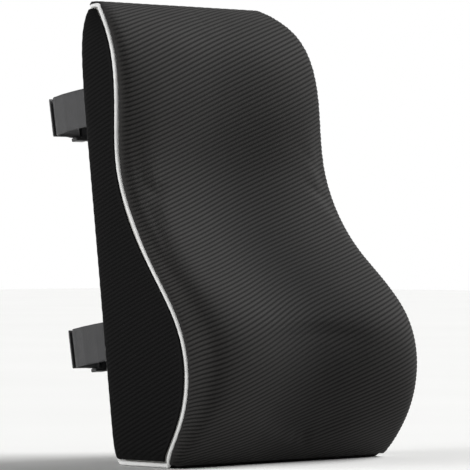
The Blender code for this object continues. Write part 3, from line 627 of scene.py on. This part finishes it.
for side, right in (("Left", False), ("Right", True)):
    rooms = (cover["pipingRoom"], cover["pipingRoom"] + 0.0004)
    rooms = rooms if right else rooms[::-1]
    sidePanel = coverPanel(
        "sideCover" + side, sideNet(right), (1, 4), (1, lastRow + 1), (97, 417),
        cover["plainThickness"], sideCloth,
        (*rooms, cover["pipingRoom"], cover["pipingRoom"]), cover["sideRibHeight"],
        -cover["sideRibDirection"], ribAxis=1, gatherDepth=0.0001)
    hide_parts("side_panel_" + side.lower())

zipHeight = 0.062
zipRoom = 0.011


def backRow(net, z):
    # the row parameter at which the flat back reaches a height
    dense = np.linspace(1, lastRow + 1, 800)
    middle = surfacePoints(net, np.array([4.0]), dense)[:, 0, 2]
    return float(np.interp(z, middle, dense))


backForm = tightened(backNet())
lowerEnd = backRow(backForm, zipHeight - zipRoom * math.cos(cushion["lean"]))
upperStart = backRow(backForm, zipHeight + zipRoom * math.cos(cushion["lean"]))
strapEdge = cover["pipingRoom"] + cover["strapRoom"]
for name, node, span, size, ends in (
    ("backCoverUpper", "back_panel_upper", (upperStart, lastRow + 1), (145, 185), (0.0, cover["seamRoom"])),
    ("backCoverLower", "back_panel_lower", (1, lowerEnd), (145, 25), (cover["seamRoom"], 0.0)),
):
    backPanel = coverPanel(
        name, backNet(), (1, 7), span, size, cover["plainThickness"], backCloth,
        (strapEdge, strapEdge, *ends), 0.0, 0.0)
    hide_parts(node)

baseCover = coverPanel(
    "baseCover", baseNet(), (1, 7), (1, 5), (145, 41), cover["meshThickness"], frontCloth,
    (cover["pipingRoom"], cover["pipingRoom"], cover["seamRoom"], cover["seamRoom"]), 0.0002, 0.3)
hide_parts("base_panel")
print("cushion: side, back and base covers")


def innerPiece(name, node, material, level, inset):
    # a smoothed copy of a hidden soft part, its loose triangles merged first
    bm = bmesh.new()
    bm.from_mesh(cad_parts[node].data)
    bmesh.ops.remove_doubles(bm, verts=bm.verts, dist=1e-6)
    mesh = bpy.data.meshes.new(name)
    bm.to_mesh(mesh)
    bm.free()
    points, normals = np.zeros((2, len(mesh.vertices) * 3))
    mesh.vertices.foreach_get("co", points)
    mesh.vertices.foreach_get("normal", normals)
    if inset:
        mesh.vertices.foreach_set("co", points - normals * inset)
    mesh.materials.clear()
    mesh.materials.append(material)
    mesh.shade_smooth()
    obj = bpy.data.objects.new(name, mesh)
    bpy.context.scene.collection.objects.link(obj)
    smooth = obj.modifiers.new("smooth", "SUBSURF")
    smooth.levels = smooth.render_levels = level
    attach(obj, "root")
    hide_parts(node)


innerPiece("foamCore", "foam_core", foamCells, 1, 0.0022)
innerPiece("innerLiner", "inner_liner", linerCloth, 1, 0.0)
print("cushion: foam and liner")

piping = {
    "radius": 0.00225,
    "lift": 0.00385,
    "spread": 0.9,  # how much the way out from the panel's middle counts beside the cloth's normal
    "turnEase": 6,
    "step": 0.0012,
    "sides": 12,
    "round": 7,
    "drawnIn": 0.003,
    "floorGap": 0.0005,
    "ripple": 0.03,
}


def evenPath(points, step, closed=False):
    # the same path with points a fixed length apart
    if closed:
        points = np.vstack([points, points[:1]])
    length = np.concatenate([[0], np.cumsum(np.linalg.norm(np.diff(points, axis=0), axis=1))])
    count = max(int(round(length[-1] / step)), 3)
    spots = np.linspace(0, length[-1], count + 1)
    out = np.stack([np.interp(spots, length, column) for column in points.T], axis=1)
    return out[:-1] if closed else out


def eased(points, reach, closed=False):
    # a running mean along a path, which rounds its corners
    kernel = np.hanning(2 * reach + 3)[1:-1]
    kernel /= kernel.sum()
    mode = "wrap" if closed else "edge"
    padded = np.pad(points, ((reach, reach), (0, 0)), mode=mode)
    columns = [np.convolve(padded[:, axis], kernel, "valid") for axis in range(points.shape[1])]
    return np.stack(columns, axis=1)


def seamPath(right):
    # the four borders of a side panel in order, and a wider grid of points with their normals to lift it by
    net = tightened(sideNet(right))
    across = np.linspace(1, 4, 120)
    up = np.linspace(1, lastRow + 1, 420)
    points = surfacePoints(net, across, up)
    spread = surfacePoints(net, np.linspace(0.75, 4.25, 141), np.linspace(0.75, lastRow + 1.25, 461))
    normals = gridNormals(spread)
    border = np.concatenate([points[0, :-1], points[:-1, -1], points[-1, :0:-1], points[:0:-1, 0]])
    return border, spread.reshape(-1, 3), normals.reshape(-1, 3)


def pipingPath(right):
    # the seam, lifted along a mean of the cloth's normal and the way out from the panel's middle, then eased
    border, grid, flat = seamPath(right)
    border = evenPath(border, piping["step"], closed=True)
    gaps = ((border[:, None, :] - grid[None, ::7, :]) ** 2).sum(axis=-1)
    normal = flat[::7][gaps.argmin(axis=1)]
    away = border - border.mean(axis=0)
    away[:, 0] = 0
    away = unit(away)
    normal = unit(eased(unit(normal + away * piping["spread"]), piping["turnEase"], closed=True))
    lifted = border + normal * piping["lift"]
    behind = smoothStep(away[:, 1] * 1.4)  # 1 on the back seam, where the cord is drawn in
    lifted[:, 0] -= behind * piping["drawnIn"] * (1 if right else -1)
    path = eased(lifted, piping["round"], closed=True)
    path[:, 2] = np.maximum(path[:, 2], piping["radius"] + piping["floorGap"])
    return path, normal


def tubePiece(name, path, normal, radius, sides, material, ripple):
    # a circle carried along a closed path, its radius rippled along a slow twist
    tangent = unit(np.roll(path, -1, axis=0) - np.roll(path, 1, axis=0))
    side = unit(np.cross(tangent, normal))
    up = np.cross(side, tangent)
    angle = np.linspace(0, 2 * np.pi, sides, endpoint=False)
    along = np.arange(len(path))[:, None] * piping["step"]
    size = radius * (1 - ripple + ripple * np.cos(3 * angle[None] + along / 0.0016))
    ring = np.cos(angle)[None, :, None] * side[:, None] + np.sin(angle)[None, :, None] * up[:, None]
    points = path[:, None] + size[..., None] * ring
    index = np.arange(len(path) * sides).reshape(len(path), sides)
    after, beside = np.roll(index, -1, axis=0), np.roll(index, -1, axis=1)
    both = np.roll(after, -1, axis=1)
    faces = np.stack([index, after, both, beside], axis=-1).reshape(-1, 4)
    obj = newPiece(name, points, faces.tolist(), material)
    clothMap(obj, np.stack(np.broadcast_arrays(along, angle[None] * radius), axis=-1))
    faceOutward(obj)
    return obj


for side, right in (("Left", False), ("Right", True)):
    path, normal = pipingPath(right)
    cord = tubePiece("piping" + side, path, normal, piping["radius"], piping["sides"], pipingCloth,
                     piping["ripple"])
    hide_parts("piping_" + side.lower())
print("cushion: piping")

webbing = {
    "width": 0.038,
    "thickness": 0.0018,
    "reach": 0.060,
    "bend": 0.012,
    "bow": 0.003,
    "barLength": 0.0035,
    "layerOffset": 0.0031,
    "layerPitch": 0.0022,
    "buckleFromBend": 0.020,
    "plugBar": 0.055,
    "leftLap": 0.024,
    "tailStop": 0.050,
    "hem": 0.012,
    "step": 0.0005,
    "ribPitch": 0.0022,
    "ribDepth": 0.00014,
    "columns": 26,
    "heights": {"upper": 0.351, "lower": 0.121},
    "slack": 0.0015,  # from a bar's edge to where the webbing leaves it
}
lean = cushion["lean"]
backAxes = np.array([
    [1, 0, 0],
    [0, math.cos(lean), -math.sin(lean)],
    [0, math.sin(lean), math.cos(lean)],
])


def fromBack(points, height):
    # a point given across, straight back and up the back, from the back plane at a height
    origin = np.array([0, backY(height), height])
    return origin + np.asarray(points) @ backAxes


def bendArc(centre, radius, start, end, steps=12):
    angle = np.radians(np.linspace(start, end, steps + 1))
    return np.stack([centre[0] + radius * np.cos(angle), centre[1] + radius * np.sin(angle)], axis=1)


def loopCorner(seam, side):
    # from the seam straight back with a slight bow, then round the bend
    centre = (seam - webbing["bend"], webbing["reach"] - webbing["bend"])
    start = [(seam, 0.0016), (seam + webbing["bow"] * 0.7, webbing["reach"] * 0.3)]
    start += [(seam + webbing["bow"] * 0.8, webbing["reach"] * 0.6)]
    points = np.vstack([start, bendArc(centre, webbing["bend"], 0, 90)])
    return points * (side, 1)


def barWrap(middle, towards, lap):
    # round a bar and back over itself
    turn, half = webbing["layerOffset"], webbing["barLength"] / 2
    centre = (middle + towards * half, webbing["reach"] + turn)
    start = (-90, 90) if towards > 0 else (270, 90)
    away = middle - towards * (half + webbing["slack"])
    settled = away - towards * 3 * turn
    level = webbing["reach"] + webbing["layerPitch"]
    points = [(away, webbing["reach"] + 2 * turn), (settled, level), (settled - towards * lap, level)]
    return np.vstack([bendArc(centre, turn, *start), points])


def webbingPiece(name, path, height, replaced):
    # a flat profile with rounded edges carried along a path, with a herringbone of fine ribs on both faces
    path = evenPath(eased(evenPath(path, webbing["step"]), 2), webbing["step"])
    tangent = unit(np.gradient(path, axis=0))
    across = np.stack([-tangent[:, 1], tangent[:, 0]], axis=1)
    half, columns = webbing["width"] / 2, webbing["columns"]
    w = np.linspace(-1, 1, columns)
    edge = np.sqrt(np.clip(1 - np.clip((np.abs(w) - 0.93) / 0.07, 0, 1) ** 2, 0.05, 1))
    along = np.arange(len(path)) * webbing["step"]
    zigzag = np.abs(((w * half / 0.0052) % 2) - 1)
    wave = np.cos(2 * np.pi * (along[:, None] / webbing["ribPitch"] + zigzag[None] * 0.8))
    depth = webbing["ribDepth"] * (0.5 - 0.5 * wave)
    thick = webbing["thickness"] / 2 * edge[None] - depth * edge[None]
    cross = np.concatenate([w, w[::-1]])
    reach = np.concatenate([thick, -thick[:, ::-1]], axis=1)
    flat = path[:, None] + reach[..., None] * across[:, None]
    points = np.stack([flat[..., 0], flat[..., 1], np.broadcast_to(cross * half, reach.shape)], axis=-1)
    rows, ring = reach.shape
    index = np.arange(rows * ring).reshape(rows, ring)
    beside = np.roll(index, -1, axis=1)
    faces = np.stack([index[:-1], beside[:-1], beside[1:], index[1:]], axis=-1).reshape(-1, 4).tolist()
    for row in (0, rows - 1):
        top, low = index[row, :columns], index[row, :columns - 1:-1]
        cap = np.stack([top[:-1], top[1:], low[1:], low[:-1]], axis=1)
        faces += cap.tolist()
    obj = newPiece(name, fromBack(points, height), faces, webbingCloth)
    clothMap(obj, np.stack(np.broadcast_arrays((cross * half)[None], along[:, None]), axis=-1))
    faceOutward(obj)
    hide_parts(replaced)
    return obj


stitch = {"length": 0.0030, "gap": 0.0010, "radius": 0.00034, "sides": 6}


def stitchRow(lines, normal):
    # closed capsules along each line: a ring of sides carried over five stations with pointed ends
    spots, ways = [], []
    pitch = stitch["length"] + stitch["gap"]
    for start, end in lines:
        start, end = np.asarray(start, float), np.asarray(end, float)
        count = max(int(np.linalg.norm(end - start) // pitch), 1)
        share = (np.arange(count) + 0.5) / count
        spots.append(start + share[:, None] * (end - start))
        ways.append(np.repeat(unit(end - start)[None], count, axis=0))
    spots, ways = np.vstack(spots), np.vstack(ways)
    normal = np.broadcast_to(normal, spots.shape)
    beside = unit(np.cross(normal, ways))
    station = np.array([-0.5, -0.38, 0.0, 0.38, 0.5]) * stitch["length"]
    size = np.array([0.25, 0.85, 1.0, 0.85, 0.25]) * stitch["radius"]
    sink = np.array([-1.3, -0.5, 0.0, -0.5, -1.3]) * stitch["radius"]
    angle = np.linspace(0, 2 * np.pi, stitch["sides"], endpoint=False)
    ring = np.cos(angle)[:, None] * beside[:, None, None] + np.sin(angle)[:, None] * normal[:, None, None]
    points = (spots[:, None, None] + station[:, None, None] * ways[:, None, None]
              + sink[:, None, None] * normal[:, None, None] + size[:, None, None] * ring)
    stations, sides = len(station), stitch["sides"]
    index = np.arange(stations * sides).reshape(stations, sides)
    turned = np.roll(index, -1, axis=1)
    body = np.stack([index[:-1], turned[:-1], turned[1:], index[1:]], axis=-1).reshape(-1, 4)
    offsets = np.arange(len(spots)) * stations * sides
    faces = (body[None] + offsets[:, None, None]).reshape(-1, 4).tolist()
    faces += (index[0, ::-1][None] + offsets[:, None]).tolist()
    faces += (index[-1][None] + offsets[:, None]).tolist()
    return points.reshape(-1, 3), faces


def stitchPiece(name, lines):
    points, faces = stitchRow(lines, backAxes[1])
    obj = newPiece(name, points, faces, threadCloth)
    clothMap(obj, points[:, :2])
    faceOutward(obj)
    return obj


def boxLines(low, high, depth, height):
    # a rectangle on the webbing's outer face, with a cross inside it
    a, b, c, d = (low[0], low[1]), (high[0], low[1]), (high[0], high[1]), (low[0], high[1])
    pairs = [(a, b), (b, c), (c, d), (d, a), (a, c), (b, d)]
    return [tuple(fromBack([x, depth, z], height) for x, z in pair) for pair in pairs]


for prefix, height in webbing["heights"].items():
    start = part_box(prefix + "_buckle_socket")[0][0]
    seam = webbing["bend"] + webbing["buckleFromBend"] - start
    offset, half = webbing["layerOffset"], webbing["barLength"] / 2
    left = np.vstack([
        loopCorner(seam, -1),
        [(start - 2 * offset, webbing["reach"])],
        barWrap(start + half, 1, webbing["leftLap"] - 2 * offset)])
    webbingPiece(prefix + "WebbingLeft", left, height, prefix + "_strap_left")
    bar = start + webbing["plugBar"] + half
    hemEnd = seam - webbing["bend"] - webbing["tailStop"]
    settled = bar + half + webbing["slack"] + 3 * offset
    tail = webbing["reach"] + webbing["layerPitch"]
    fold = webbing["thickness"] / 2
    right = np.vstack([
        loopCorner(seam, 1),
        [(bar + half + 2 * offset, webbing["reach"])],
        barWrap(bar, -1, hemEnd - webbing["hem"] - settled),
        [(hemEnd - 2 * fold, tail)],
        bendArc((hemEnd - 2 * fold, tail + fold), fold, -90, 90, 8)[1:],
        [(hemEnd - webbing["hem"] + 0.0015, tail + 2 * fold)]])
    webbingPiece(prefix + "WebbingRight", right, height, prefix + "_strap_right")
    lapEnd = start - webbing["slack"] - 3 * offset - (webbing["leftLap"] - 2 * offset)
    face = tail + fold
    lines = boxLines((lapEnd + 0.003, -0.0155), (lapEnd + 0.0155, 0.0155), face, height)
    hemFace = tail + 3 * fold
    for x in (hemEnd - webbing["hem"] + 0.0045, hemEnd - 0.004):
        lines.append((fromBack([x, hemFace, -0.0165], height), fromBack([x, hemFace, 0.0165], height)))
    stitchPiece(prefix + "WebbingStitches", lines)
print("cushion: webbing")

zipParts = {
    "tapeLow": 0.0030,
    "tapeThickness": 0.0006,
    "tapeInner": 0.0008,
    "tapeOuter": 0.0102,
    "coilInner": 0.0005,
    "coilWidth": 0.0019,
    "coilHeight": 0.0015,
    "coilGap": 0.0002,
    "turnPitch": 0.00155,
    "wire": 0.00030,
}


def coilPiece(name, node, sign):
    # a flattened helix: across the coil a cosine, straight back a sine, along the zip steady
    half = (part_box(node)[1][0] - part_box(node)[0][0]) / 2 - zipParts["wire"]
    turns = int(2 * half / zipParts["turnPitch"])
    steps, sides = 10, 5
    angle = np.linspace(0, 2 * np.pi * turns, turns * steps + 1)
    wire = zipParts["wire"]
    middle = zipParts["coilInner"] + zipParts["coilWidth"] / 2
    low = zipParts["tapeLow"] + zipParts["tapeThickness"] + zipParts["coilGap"]
    x = np.linspace(-half, half, len(angle))
    y = low + zipParts["coilHeight"] / 2 + (zipParts["coilHeight"] / 2 - wire) * np.sin(angle)
    z = sign * (middle + (zipParts["coilWidth"] / 2 - wire) * np.cos(angle))
    path = np.stack([x, y, z], axis=1)
    tangent = unit(np.gradient(path, axis=0))
    side = unit(np.cross(tangent, [1.0, 0, 0]))
    up = np.cross(side, tangent)
    turn = np.linspace(0, 2 * np.pi, sides, endpoint=False)
    ring = np.cos(turn)[:, None] * side[:, None] + np.sin(turn)[:, None] * up[:, None]
    points = fromBack(path[:, None] + wire * ring, zipHeight)
    index = np.arange(len(path) * sides).reshape(len(path), sides)
    beside = np.roll(index, -1, axis=1)
    faces = np.stack([index[:-1], beside[:-1], beside[1:], index[1:]], axis=-1).reshape(-1, 4).tolist()
    faces += [index[0, ::-1].tolist(), index[-1].tolist()]
    obj = newPiece(name, points, faces, coilNylon)
    faceOutward(obj)
    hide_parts(node)


def tapePiece(name, node, sign):
    # a thin strip with rounded long edges and a fine wave along it
    half = (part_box(node)[1][0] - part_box(node)[0][0]) / 2
    x = np.linspace(-half, half, 321)
    w = np.linspace(0, 1, 13)
    z = sign * (zipParts["tapeInner"] + w * (zipParts["tapeOuter"] - zipParts["tapeInner"]))
    edge = np.sqrt(np.clip(1 - (2 * w - 1) ** 12, 0.05, 1))
    middle = zipParts["tapeLow"] + zipParts["tapeThickness"] / 2
    wave = 0.00004 * np.cos(2 * np.pi * (x[:, None] / 0.0024 + np.abs(w * 4 % 2 - 1)[None]))
    thick = zipParts["tapeThickness"] / 2 * edge[None] - np.abs(wave)
    top = np.stack(np.broadcast_arrays(x[:, None], middle + thick, z[None]), axis=-1)
    low = np.stack(np.broadcast_arrays(x[:, None], middle - thick, z[None]), axis=-1)
    points = np.concatenate([top, low[:, ::-1]], axis=1)
    rows, ring = points.shape[:2]
    index = np.arange(rows * ring).reshape(rows, ring)
    beside = np.roll(index, -1, axis=1)
    faces = np.stack([index[:-1], beside[:-1], beside[1:], index[1:]], axis=-1).reshape(-1, 4).tolist()
    for row in (0, rows - 1):
        near, far = index[row, :13], index[row, :12:-1]
        faces += np.stack([near[:-1], near[1:], far[1:], far[:-1]], axis=1).tolist()
    obj = newPiece(name, fromBack(points, zipHeight), faces, tapeCloth)
    clothMap(obj, np.ascontiguousarray(points[..., (0, 2)]))
    faceOutward(obj)
    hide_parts(node)


for side, sign in (("Upper", 1), ("Lower", -1)):
    coilPiece("zipCoil" + side, "zip_coil_" + side.lower(), sign)
    tapePiece("zipTape" + side, "zip_tape_" + side.lower(), sign)
stitchEnd = (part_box("zip_tape_upper")[1][0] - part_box("zip_tape_upper")[0][0]) / 2 - 0.002
tapeTop = zipParts["tapeLow"] + zipParts["tapeThickness"]
panelTop = cover["lift"] + cover["plainThickness"]
rows = [
    tuple(fromBack([x, depth, z], zipHeight) for x in (-stitchEnd, stitchEnd))
    for depth, z in ((tapeTop, 0.0078), (tapeTop, -0.0078), (panelTop, 0.0145), (panelTop, -0.0145))
]
stitchPiece("zipStitches", rows)
print("cushion: zip")

# the buckles, the keepers and the metal parts keep their own shapes
kept = dict.fromkeys(("zip_slider", "zip_pull", "zip_stop_left", "zip_stop_right"), darkMetal)
for prefix in ("upper", "lower"):
    for part in ("buckle_socket", "buckle_plug", "buckle_arm_top", "buckle_arm_bottom", "strap_keeper"):
        kept[f"{prefix}_{part}"] = bucklePlastic
for node, material in kept.items():
    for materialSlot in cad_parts[node].material_slots:
        materialSlot.material = material

studio = {
    "distance": 3.8,
    "azimuth": math.radians(46.0),
    "aim": (-0.0107, -0.0215, 0.2239),
    "lens": 293.35,
    "worldLight": 0.13,
    "suns": (((1.4, -0.55, 1.15), 4.0, math.radians(40)), ((-1.4, 0.6, 0.4), 2.4, math.radians(40))),
}
floorMaterial = newMaterial("paleFloor", (0.86, 0.86, 0.85), 0.9)
setColor(floorMaterial, colorMix(
    floorMaterial, rangeValue(floorMaterial, noiseValue(floorMaterial, 2.0), 0.3, 0.7, 0, 1),
    (0.86, 0.86, 0.85), (0.88, 0.88, 0.87)))
floorMesh = bpy.data.meshes.new("studioFloor")
floorMesh.from_pydata([(-9, -9, 0), (9, -9, 0), (9, 9, 0), (-9, 9, 0)], [], [(0, 1, 2, 3)])
floorMesh.materials.append(floorMaterial)
floor = bpy.data.objects.new("studioFloor", floorMesh)
bpy.context.scene.collection.objects.link(floor)

world = bpy.data.worlds.new("studio")
bpy.context.scene.world = world
world.use_nodes = True
background = world.node_tree.nodes["Background"]
background.inputs[0].default_value = (1, 1, 1, 1)
# the paper behind the cushion is white to look at, and gives off a softer light
seen = world.node_tree.nodes.new("ShaderNodeLightPath")
level = world.node_tree.nodes.new("ShaderNodeMapRange")
level.inputs[3].default_value = studio["worldLight"]
level.inputs[4].default_value = 1.0
world.node_tree.links.new(seen.outputs["Is Camera Ray"], level.inputs[0])
world.node_tree.links.new(level.outputs[0], background.inputs[1])


def lookFrom(obj, place, target):
    obj.location = place
    obj.rotation_euler = (Vector(target) - Vector(place)).to_track_quat("-Z", "Y").to_euler()


for sunPlace, power, spread in studio["suns"]:
    sunData = bpy.data.lights.new("sun", "SUN")
    sunData.energy = power
    sunData.angle = spread
    sun = bpy.data.objects.new("sun", sunData)
    bpy.context.scene.collection.objects.link(sun)
    lookFrom(sun, sunPlace, (0, 0, 0))

cameraData = bpy.data.cameras.new("camera")
cameraData.lens = studio["lens"]
cameraData.sensor_width = 36
camera = bpy.data.objects.new("camera", cameraData)
bpy.context.scene.collection.objects.link(camera)
azimuth, distance = studio["azimuth"], studio["distance"]
place = (-math.sin(azimuth) * distance, -0.0325 - math.cos(azimuth) * distance, studio["aim"][2])
lookFrom(camera, place, studio["aim"])
bpy.context.scene.camera = camera
bpy.context.scene.view_settings.view_transform = "Standard"

print("cushion: done")
